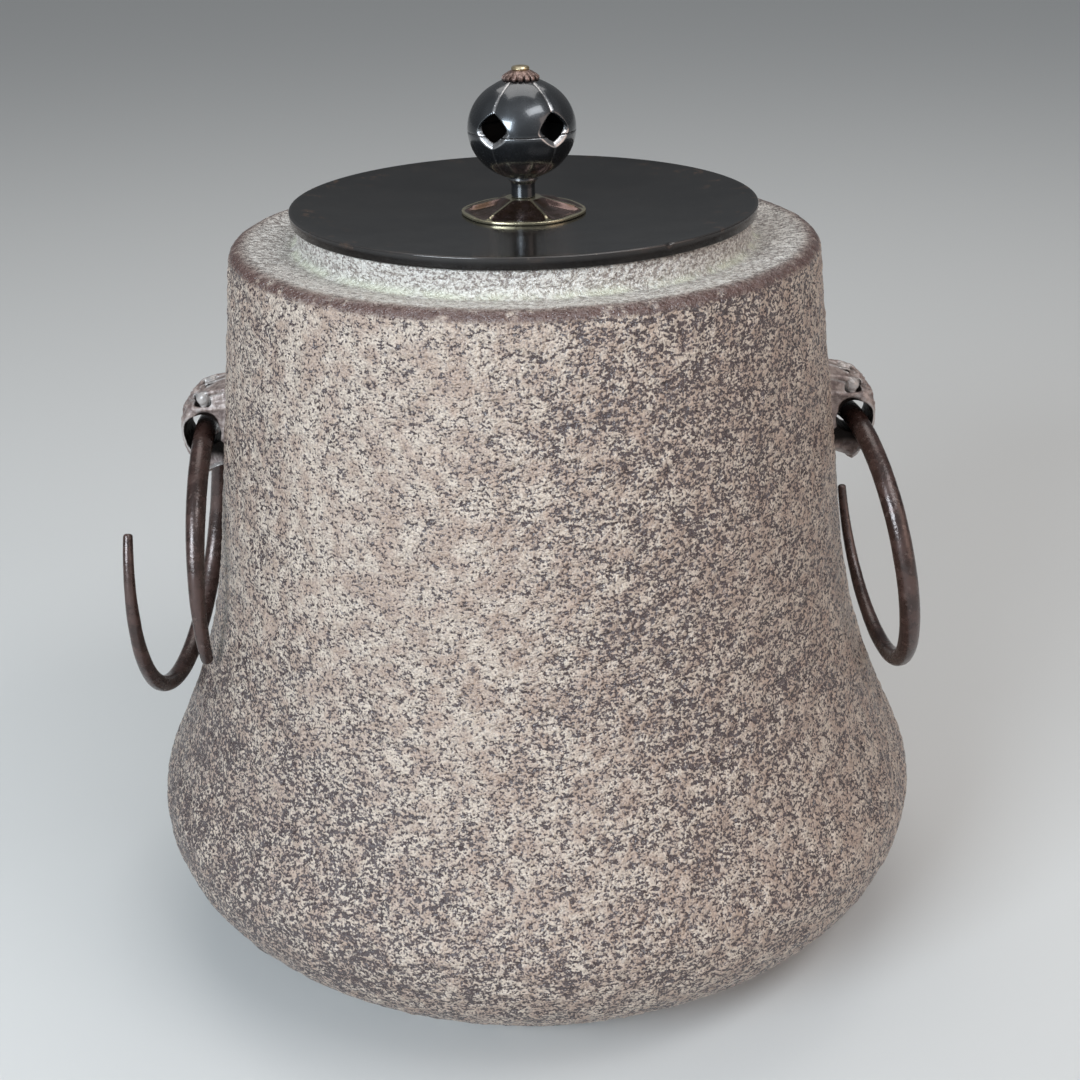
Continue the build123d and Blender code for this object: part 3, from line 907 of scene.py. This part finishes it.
def make_lug(name, node, side):
    """One cast mask; side is 1 at the right and -1 at the left."""
    outline = mask_side()
    relief = upper_face() + lower_face()

    def field(p):
        return mask_field(p, outline, relief)

    points, quads = surface_of(field, (88.5, -11.0, 146.5), (109.6, 11.0, 185.0), 0.36)
    slope = field_slope(points, field, 0.05)
    normal = slope / np.linalg.norm(slope, axis=1)[:, None]
    probe = 0.9
    # Painted shade: how much each point lies in a hollow or inside the hole, made near black.
    hollow = eased(0.80, 0.30, field(points + probe * normal) / probe)
    in_hole = eased(0.7, 0.2, hole_field(points)) * eased(9.2, 8.2, np.abs(points[:, 1]))
    hollow = np.maximum(hollow, in_hole) * eased(154.5, 158.0, points[:, 2])
    # Rubbed high points, partly wear and partly painted highlight; the eye gets a painted highlight of its
    # own.
    rub_and_painted_highlight = eased(-0.86, -0.50, field(points - probe * normal) / probe) * (1 - hollow)
    mirrored = np.column_stack([points[:, 0], np.abs(points[:, 1]), points[:, 2]])
    from_eye = np.linalg.norm(mirrored - EYE, axis=1)
    rub_and_painted_highlight = np.maximum(rub_and_painted_highlight, eased(EYE_RADIUS + 0.25, EYE_RADIUS, from_eye))
    points = points - normal * (0.10 * (1 + lattice_noise(points, 1.1, 31)))[:, None]
    points[:, 0] *= side
    values = {"hollow": hollow, "rub_and_painted_highlight": rub_and_painted_highlight}
    new_piece(name, node, "kettle", "lug_iron", points, quads, values=values)


# ======================= rings =======================

def ring_points(ring, turn):
    """Centre line of a ring's wire at turns in degrees, 0 in the lug and growing to the front."""
    t = np.radians(turn)
    x = ring["lead"] * turn / 360
    y = -ring["radius"] * np.sin(t)
    z = ring["radius"] * (np.cos(t) - 1)
    swing = math.radians(ring["swing"])
    yaw = math.radians(ring["yaw"])
    x, z = x * math.cos(swing) + z * math.sin(swing), -x * math.sin(swing) + z * math.cos(swing)
    x, y = x * math.cos(yaw) - y * math.sin(yaw), x * math.sin(yaw) + y * math.cos(yaw)
    return np.stack([ring["seat_x"] + x, y, RING_SEAT_Z + z], -1)


def wire_radii(ring, turn):
    from_outer = np.minimum(1, np.abs(turn - ring["outer_end"]) / OUTER_TAPER)
    from_inner = np.minimum(1, np.abs(turn - ring["inner_end"]) / INNER_TAPER)
    outer = OUTER_TIP_RADIUS + (WIRE_RADIUS - OUTER_TIP_RADIUS) * np.sin(math.pi / 2 * from_outer)
    inner = INNER_TIP_RADIUS + (WIRE_RADIUS - INNER_TIP_RADIUS) * np.sin(math.pi / 2 * from_inner)
    return np.minimum(outer, inner)


def ring_turns(ring, per_degree):
    """Turns at which the wire has a row of points, close together at its tips, and the radius
    that is left at each once the tips are rounded."""
    first = min(ring["outer_end"], ring["inner_end"])
    last = max(ring["outer_end"], ring["inner_end"])
    ends = TIP_LENGTH / per_degree * (1 - np.cos(np.linspace(0, math.pi / 2, 9)))
    between = np.arange(first + ends[-1], last - ends[-1], 0.9)
    turn = np.concatenate([first + ends[:-1], between, (last - ends[:-1])[::-1]])
    from_end = np.minimum(turn - first, last - turn) * per_degree
    radius = wire_radii(ring, turn)
    cap = np.sqrt(np.clip(1 - (1 - np.minimum(from_end / TIP_LENGTH, 1)) ** 2, 0, 1))
    return turn, radius - np.minimum(TIP_LENGTH, radius) * (1 - cap)


def make_ring(name, node):
    """Hand-bent tapered wire with softly rounded tips and hammer marks."""
    ring = RINGS[node]
    around = 40
    turn, radius = ring_turns(ring, ring["radius"] * math.pi / 180)
    centre = ring_points(ring, turn)
    along = ring_points(ring, turn + 0.5) - ring_points(ring, turn - 0.5)
    along /= np.linalg.norm(along, axis=1)[:, None]
    middle = ring_points(ring, np.array([0.0, 180.0])).mean(axis=0)
    out = centre - middle
    out -= (out * along).sum(1)[:, None] * along
    out /= np.linalg.norm(out, axis=1)[:, None]
    across = np.cross(along, out)
    a = np.arange(around) * 2 * math.pi / around
    spoke = out[:, None, :] * np.cos(a)[None, :, None] + across[:, None, :] * np.sin(a)[None, :, None]
    points = (centre[:, None, :] + spoke * radius[:, None, None]).reshape(-1, 3)
    marks = 0.05 * (1 + lattice_noise(points, 7, 61)) + 0.025 * (1 + lattice_noise(points, 2.2, 62))
    marks = np.minimum(marks, 0.25 * np.repeat(radius, around))
    points = points - spoke.reshape(-1, 3) * marks[:, None]
    points, quads, tris = capped(points, len(turn), around)
    new_piece(name, node, node, "ring_iron", points, quads, tris)


# ======================= lid and knob =======================

LID_RADIUS = 69.3
LID_FOOT_RADIUS = 68.9
LID_DISH = 4.0
LID_CENTRE_THICKNESS = 2.8
FLANGE_RADIUS = 62.2
FLANGE_WIDTH = 2.6
FLANGE_DEPTH = 4.2
LID_RIM_Z = lid_high[2]
LID_SPHERE = (LID_RADIUS**2 + LID_DISH**2) / (2 * LID_DISH)
BORE_RADIUS = 2.45
NICK_ANGLE = math.radians(-56.0)  # of the small nick in the rim


def lid_top_z(r):
    """Height of the lid's dished top at a radius."""
    return LID_RIM_Z - LID_DISH + LID_SPHERE - math.sqrt(LID_SPHERE**2 - r**2)


def lid_outline():
    """Closed outline of the lid: dished top, rim, flange, hollow underside and the bore."""
    foot = NECK_TOP_Z
    flange_inside = FLANGE_RADIUS - FLANGE_WIDTH
    top = [(r, lid_top_z(r)) for r in np.linspace(BORE_RADIUS + 0.3, LID_RADIUS - 1.2, 60)]
    under_r = np.linspace(flange_inside - 3, BORE_RADIUS, 24)
    under = [(r, lid_top_z(r) - LID_CENTRE_THICKNESS) for r in under_r]
    rim = [
        top[-1],
        (LID_RADIUS, LID_RIM_Z),
        (LID_FOOT_RADIUS, foot),
        (FLANGE_RADIUS, foot),
        (FLANGE_RADIUS, foot - FLANGE_DEPTH),
        (flange_inside, foot - FLANGE_DEPTH),
        (flange_inside, foot),
        under[0],
    ]
    rim = resampled(rounded(rim, [0.45, 0.6, 0.4, 0.6, 0.6, 0.8])[:-1], 1.6)
    bore_top = [(BORE_RADIUS, lid_top_z(BORE_RADIUS) - 0.3)]
    return np.vstack([top[:-1], rim, under, bore_top])


def make_lid():
    """Dished cast plate with a crisp nicked rim, a locating flange and slight casting waves."""
    turns = 720
    outline = lid_outline()
    points = turned_points(outline, turns)
    r = axis_distance(points)
    top = points[:, 2] > LID_RIM_Z - 0.02 - LID_DISH * (1 - (r / LID_RADIUS) ** 2) - 0.6
    calm = eased(LID_RADIUS - 0.6, LID_RADIUS - 4, r) * eased(17.5, 22, r)
    waves = 0.035 * (1 + lattice_noise(points, 19, 71)) + 0.012 * (1 + lattice_noise(points, 7, 72))
    points[:, 2] -= waves * calm * top
    angle = np.arctan2(points[:, 1], points[:, 0])
    at_rim = eased(LID_RADIUS - 1.2, LID_RADIUS, r) * eased(LID_RIM_Z - 1.2, LID_RIM_Z, points[:, 2])
    nick = np.exp(-((angle - NICK_ANGLE) * LID_RADIUS / 0.9) ** 2) * at_rim
    points[:, :2] *= (1 - 0.5 * nick / np.maximum(r, 1))[:, None]
    points[:, 2] -= 0.30 * nick
    wear = eased(54, 67, r) * eased(0.35, 0.9, np.abs(np.cos(angle))) * top
    wear = np.maximum(wear, 0.25 * top * eased(60, 68, r))
    # Painted highlight along the rim's top edge.
    edge = np.exp(-((r - LID_RADIUS + 0.2) / 0.35) ** 2)
    edge = edge * eased(LID_RIM_Z - 1.1, LID_RIM_Z - 0.1, points[:, 2])
    quads = row_quads(len(outline), turns, loop=True)
    values = {"wear": wear, "edge": edge}
    new_piece("lid_casting", "lid_plate", "lid", "lid_bronze", points, quads, values=values)


PETALS = 6
PLATE_RADIUS = 18.5
RIDGE_ANGLE = math.radians(-66.0)
PLATE_FOOT_Z = plate_low[2]
PLATE_RISE = plate_high[2] - plate_low[2]


def petal_height(r, angle):
    """Height of the petal plate over its foot, how much of a ridge each point is, and the rim's radius."""
    pitch = 2 * math.pi / PETALS
    turn = (angle - RIDGE_ANGLE) / pitch
    off = np.abs(turn - np.round(turn)) * pitch
    rim = PLATE_RADIUS - 0.45 * np.sin(off * PETALS / 2) ** 2
    across = r * np.sin(off)
    crest_r = (0, 5.2, 10.0, 15.2, 17.4, PLATE_RADIUS)
    crest_z = (PLATE_RISE, PLATE_RISE, 3.35, 2.05, 0.95, 0.72)
    crest = np.interp(r, crest_r, crest_z)
    inside = -blend_max(blend_max(0.30 - across, r - rim + 0.70, 2.2), 5.3 - r, 1.2)
    hollow = eased(-0.15, 2.6, inside) * (0.35 + 0.65 * eased(5, 9, r))
    height = crest - np.minimum(1.25 * hollow, 0.72 * crest)
    notch = np.exp(-((r - 16.4) / 0.7) ** 2 - (across / 0.55) ** 2)
    bead = eased(0.75, 0.35, rim - r) * 0.12
    ridge = eased(0.16, -0.08, inside)
    return np.minimum(height - 0.22 * notch + bead, PLATE_RISE), ridge, rim


def make_petal_plate():
    """Six dished petals between raised ridges, over a hollow underside."""
    turns = 1080
    top_r = np.concatenate([np.linspace(BORE_RADIUS + 0.05, 4.9, 5), np.linspace(5.1, PLATE_RADIUS, 90)])
    angle = np.arange(turns) * 2 * math.pi / turns
    r, a = np.meshgrid(top_r, angle, indexing="ij")
    height, ridge, rim = petal_height(r, a)
    r = r * (1 - (1 - rim / PLATE_RADIUS) * eased(5.1, PLATE_RADIUS, r))
    edge_z = height[-1].copy()
    height[-1] -= 0.05
    rows = [(r, height, ridge)]
    for inset, share in ((0.0, 0.86), (0.0, 0.55), (0.0, 0.22), (0.12, 0.06), (0.35, 0.0), (1.2, 0.0)):
        rows.append(((r[-1] - inset)[None, :], (edge_z * share)[None, :], ridge[-1:]))
    flat = np.ones((1, turns))
    hollow = [(11.5, 1.0), (9.0, 1.0), (6.4, 1.0), (6.0, 0.7), (6.0, 0.0), (2.6, 0.0), (BORE_RADIUS, 0.12)]
    for under_r, under_z in hollow:
        rows.append((flat * under_r, flat * under_z, flat * 0))
    r, height, ridge = (np.vstack(part) for part in zip(*rows))
    a = np.broadcast_to(angle, r.shape)
    points = np.stack([r * np.cos(a), r * np.sin(a), PLATE_FOOT_Z + height], -1).reshape(-1, 3)
    quads = row_quads(r.shape[0], turns, loop=True)
    values = {"ridge": ridge.ravel()}
    new_piece("petal_plate", "knob_base_plate", "lid", "petal_brass", points, quads, values=values)


def make_washer():
    """Thin plate under the lid that the stem's tail is peened over."""
    low, high = cad_box("under_washer")
    start = [(BORE_RADIUS + 1, low[2])]
    bore = [(BORE_RADIUS, low[2]), (BORE_RADIUS, high[2])]
    rim = [(high[0], high[2]), (high[0], low[2])]
    outline = resampled(rounded(start + bore + rim + start, [0.15, 0.15, 0.3, 0.3]), 0.8)[:-1]
    turns = 120
    points = turned_points(outline, turns)
    r = axis_distance(points)
    dent = 0.06 * (1 + lattice_noise(points, 3, 81)) * eased(3, 4, r)
    points[:, 2] += dent * (points[:, 2] < low[2] + 0.3)
    quads = row_quads(len(outline), turns, loop=True)
    values = {"ridge": np.full(len(points), 0.25)}
    new_piece("washer", "under_washer", "lid", "petal_brass", points, quads, values=values)


def make_stem():
    """One turned rod: peened tail, waisted neck, collar under the ball and the rod inside it."""
    low = stem_low[2]
    high = stem_high[2]
    plate_top = plate_high[2] + 0.05
    foot = lower_low[2]
    tail_top = low + 1.3
    corners = [
        (0.05, low),
        (2.8, low),
        (4.0, tail_top - 0.35),
        (4.0, tail_top),
        (2.4, tail_top),
        (2.4, plate_top),
        (3.6, plate_top),
        (3.5, (plate_top + foot) / 2),
        (3.6, foot - 1.7),
        (4.6, foot - 0.7),
        (4.6, foot),
        (ROD_RADIUS, foot),
        (ROD_RADIUS, high - 0.1),
        (0.05, high),
    ]
    outline = resampled(rounded(corners, [0.6, 0.2, 0.15, 0, 0, 0.3, 6, 0.9, 0.35, 0.25, 0, 0.2]), 0.7)
    turns = 96
    points, quads, tris = capped(turned_points(outline, turns), len(outline), turns)
    z = points[:, 2]
    # Painted highlight, partly wear, round the top of the collar.
    rub_and_painted_highlight = np.exp(-((z - foot + 0.6) / 0.5) ** 2) * (axis_distance(points) > 4) * 0.5
    # Painted shade: the rod inside the ball is made near black.
    values = {"rub_and_painted_highlight": rub_and_painted_highlight, "deep": (z > foot + 0.5) * 1.0}
    new_piece("knob_post", "knob_stem", "knob", "knob_bronze", points, quads, tris, values)


def ellipsoid_field(flat, z, radius, half_height):
    """Distance to an ellipsoid of revolution, near enough close to its surface."""
    k0 = np.hypot(flat / radius, z / half_height)
    k1 = np.hypot(flat / radius**2, z / half_height**2)
    return k0 * (k0 - 1) / np.maximum(k1, 1e-6)


def ball_skin(p):
    """The knob ball's outer and inner fields, its fold lines' strength and its openings' field."""
    z = p[:, 2] - BALL_CENTRE_Z
    flat = axis_distance(p)
    outer = ellipsoid_field(flat, z, BALL_RADIUS, BALL_HALF_HEIGHT)
    inner = ellipsoid_field(flat, z, BALL_RADIUS - BALL_WALL, BALL_HALF_HEIGHT - BALL_WALL)
    pitch = 2 * math.pi / OPENINGS
    turn = (np.arctan2(p[:, 1], p[:, 0]) - FOLD_ANGLE) / pitch
    across = np.abs(turn - np.round(turn)) * pitch * flat
    upper = eased(-1.0, 1.5, z)
    half = (0.16 + 0.30 * np.clip(flat / BALL_RADIUS, 0, 1)) * upper + 0.16 * (1 - upper)
    fold = eased(half + 0.16, half - 0.12, across) * eased(4.2, 5.2, flat)
    swell = np.exp(-((across / 2.6) ** 2)) * eased(4, 9, flat) * upper
    outer = outer + fold * (0.28 * upper + 0.16 * (1 - upper)) + 0.22 * swell
    up = p[:, 2] - OPENING_CENTRE_Z
    tall = np.where(up > 0, OPENING_ABOVE, OPENING_BELOW)
    power = 1.35
    reach = (across / OPENING_HALF_WIDTH) ** power + np.abs(up / tall) ** power
    opening = (reach ** (1 / power) - 1) * 3.4
    slant = 0.15 + 0.95 * eased(2.2, -1.2, up)
    opening = np.where(flat < 8, 5.0, opening - slant * np.minimum(outer, 0))
    return outer, inner, fold, opening


def make_shell(name, node, upper):
    """Half of the hollow ball, parted at the seam."""
    foot = lower_low[2]
    crown = upper_high[2]
    lip_rounding = 0.32
    gap = 0.015                     # half of the seam

    def field(p):
        outer, inner, _, opening = ball_skin(p)
        d = blend_max(outer, -inner, 0.3)
        d = blend_max(d, -opening, 0.28)
        d = blend_max(d, ROD_RADIUS + 0.02 - axis_distance(p), 0.2)
        over_seam = p[:, 2] - BALL_SEAM_Z
        if upper:
            return blend_max(blend_max(d, gap - over_seam, lip_rounding), p[:, 2] - crown, 0.15)
        return blend_max(blend_max(d, over_seam + gap, lip_rounding), foot - p[:, 2], 0.15)

    cell = 0.27
    z_low = BALL_SEAM_Z - 0.6 if upper else foot - 0.6
    z_high = crown + 0.6 if upper else BALL_SEAM_Z + 0.6
    reach = BALL_RADIUS + 0.6
    points, quads = surface_of(field, (-reach, -reach, z_low), (reach, reach, z_high), cell)
    outer, _, fold, opening = ball_skin(points)
    over_seam = points[:, 2] - BALL_SEAM_Z
    outside = eased(-0.7, -0.3, outer)
    # Grey along the folds, more on the upper half, on the lower edges of the openings and on the seam's lip:
    # partly wear, partly painted highlight.
    rub_and_painted_highlight = fold * outside * np.maximum(eased(-2.0, 1.0, over_seam), 0.35)
    low_side = eased(1.6, -1.4, points[:, 2] - OPENING_CENTRE_Z)
    cut = eased(0.34, 0.12, opening) * eased(-1.30, -1.1, outer)
    lip = eased(0.26, 0.08, np.abs(over_seam)) * outside
    rub_and_painted_highlight = np.maximum.reduce([rub_and_painted_highlight, cut * low_side, 0.9 * lip])
    # Painted shade: the ball's inside is made near black and dull.
    values = {"rub_and_painted_highlight": rub_and_painted_highlight, "deep": eased(-0.75, -1.2, outer) * (1 - rub_and_painted_highlight)}
    new_piece(name, node, "knob", "knob_bronze", points, quads, values=values)


def make_rosette():
    """Scalloped washer under the button, its petals parted by deep notches."""
    low = rosette_low[2]
    thick = rosette_high[2] - low
    pitch = 2 * math.pi / 16        # sixteen petals

    def petal_shape(p):
        """Distance from the axis, and 0 in the middle of a petal to 1 between two."""
        turn = np.arctan2(p[:, 1], p[:, 0]) / pitch
        return axis_distance(p), 2 * np.abs(turn - np.round(turn))

    def field(p):
        flat, off = petal_shape(p)
        gap = eased(0.50, 0.95, off)
        lift = p[:, 2] - low
        side = flat - 5.46 + 1.15 * gap
        dome = thick - (thick - 1.05) * np.clip((flat - 2.5) / 2.9, 0, 1.2) ** 1.25
        dome = dome - 0.12 * gap * eased(3.0, 4.4, flat)
        pits = 0.05 * np.cos(flat * 7.5) * eased(2.9, 3.4, flat) * eased(5.2, 4.6, flat)
        d = blend_max(side * 0.85, (lift - dome + pits) * 0.85, 0.35)
        d = blend_max(d, 0.01 - lift, 0.2)
        return blend_max(d, ROD_RADIUS + 0.02 - flat, 0.15)

    points, quads = surface_of(field, (-5.8, -5.8, low - 0.3), (5.8, 5.8, low + thick + 0.3), 0.13)
    flat, off = petal_shape(points)
    # Painted shade in the notches between petals and under the outer edge.
    notch = eased(0.62, 0.95, off) * eased(4.3, 4.9, flat)
    under = eased(low + 0.75, low + 0.35, points[:, 2]) * eased(3.5, 4.5, flat)
    values = {"hollow": np.maximum(notch, 0.8 * under)}
    new_piece("knob_flower", "knob_rosette", "knob", "rosette_copper", points, quads, values=values)


def make_button():
    """Flat-domed cap over the end of the rod."""
    low = button_low[2]
    high = button_high[2]
    socket_top = low + 0.6
    corners = [
        (0.05, socket_top),
        (ROD_RADIUS, socket_top),
        (ROD_RADIUS, low),
        (2.45, low),
        (2.7, low + 0.45),
        (2.35, high - 0.28),
        (1.2, high - 0.03),
        (0.05, high),
    ]
    outline = resampled(rounded(corners, [0, 0.1, 0.15, 0.25, 0.3, 1.5]), 0.3)
    turns = 96
    points, quads, tris = capped(turned_points(outline, turns), len(outline), turns)
    new_piece("knob_cap", "knob_button", "knob", "button_brass", points, quads, tris)


# ======================= stage =======================

def make_floor():
    """A wide, plain, pale floor."""
    mesh = bpy.data.meshes.new("floor")
    size = 8.0
    corners = [(-size, -size, 0), (size, -size, 0), (size, size, 0), (-size, size, 0)]
    mesh.from_pydata(corners, [], [(0, 1, 2, 3)])
    f = Finish("floor")
    mesh.materials.append(f.finished(Base_Color=(0.62, 0.62, 0.61), Roughness=0.85))
    placed("floor", mesh)


def make_lamp(name, place, aim, size, power, colour):
    """A soft rectangular lamp at a place in metres, facing aim."""
    data = bpy.data.lights.new(name, "AREA")
    data.shape = "RECTANGLE"
    data.size, data.size_y = size
    data.energy = power
    data.color = colour
    lamp = placed(name, data)
    lamp.location = place
    lamp.rotation_mode = "QUATERNION"
    lamp.rotation_quaternion = (Vector(aim) - Vector(place)).to_track_quat("-Z", "Y")


def make_light():
    """A grey room, darker behind and below, with soft lamps to the front left, right and above."""
    world = bpy.data.worlds.new("studio")
    bpy.context.scene.world = world
    world.use_nodes = True
    room = Nodes(world.node_tree)
    way = room.node("ShaderNodeTexCoord", "Generated", {})
    ahead = room.node("ShaderNodeSeparateXYZ", 1, {0: way})
    above = room.node("ShaderNodeSeparateXYZ", 2, {0: way})
    ahead = room.span(ahead, 0.30, -0.5, 0.12, 0.34, "LINEAR")
    above = room.span(above, -0.1, 0.75, 0.80, 1.70, "LINEAR")
    back = room.tree.nodes["Background"]
    room.put(back.inputs["Color"], (0.92, 0.96, 1.0))
    room.put(back.inputs["Strength"], room.times(ahead, above))
    aim = (0, 0, 0.16)
    make_lamp("window", (-0.74, -0.99, 0.65), aim, (0.62, 0.46), 17, (0.80, 0.91, 1.0))
    make_lamp("skylight", (0.60, -0.59, 1.24), aim, (0.95, 0.34), 5.5, (0.96, 0.98, 1.0))
    make_lamp("fill", (1.1, -0.5, 0.5), aim, (0.9, 0.9), 3.0, (1.0, 0.76, 0.64))
    make_lamp("ceiling", (0.0, 0.45, 1.5), aim, (1.2, 0.9), 6.5, (1.0, 0.98, 0.95))


def make_camera():
    """The photograph's viewing angle: from the front, looking down, with a slight roll."""
    pitch = math.radians(23.86)
    roll = math.radians(-1.23)
    yaw = math.radians(0.18)
    ahead = Vector((math.sin(yaw) * math.cos(pitch), math.cos(yaw) * math.cos(pitch), -math.sin(pitch)))
    right = ahead.cross(Vector((0, 0, 1))).normalized()
    up = right.cross(ahead)
    right, up = (math.cos(roll) * right + math.sin(roll) * up, -math.sin(roll) * right + math.cos(roll) * up)
    data = bpy.data.cameras.new("camera")
    data.sensor_width = 36.0
    data.lens = 55.33
    camera = placed("camera", data)
    place = Vector((1.2, -491.3, 340.0)) * MM
    camera.matrix_world = Matrix.Translation(place) @ Matrix((right, up, -ahead)).transposed().to_4x4()
    bpy.context.scene.camera = camera
    bpy.context.scene.view_settings.view_transform = "Standard"


# ======================= build =======================

IRON = (kettle_iron, lug_iron, ring_iron, plain_iron)
BRONZE = (lid_bronze, petal_brass, knob_bronze, rosette_copper, button_brass)
finishes = {make.__name__: make() for make in IRON + BRONZE}
make_kettle()
for side, angle in (("back", 90), ("left", 210), ("right", 330)):
    make_sounding_iron("sounding_plate_" + side, "sounding_iron_" + side, angle)
make_lug("mask_right", "lug_right", 1)
make_lug("mask_left", "lug_left", -1)
make_ring("left_ring_wire", "ring_left")
make_ring("right_ring_wire", "ring_right")
make_lid()
make_petal_plate()
make_washer()
make_stem()
make_shell("lower_knob_shell", "knob_lower_shell", False)
make_shell("upper_knob_shell", "knob_upper_shell", True)
make_rosette()
make_button()
make_floor()
make_light()
make_camera()
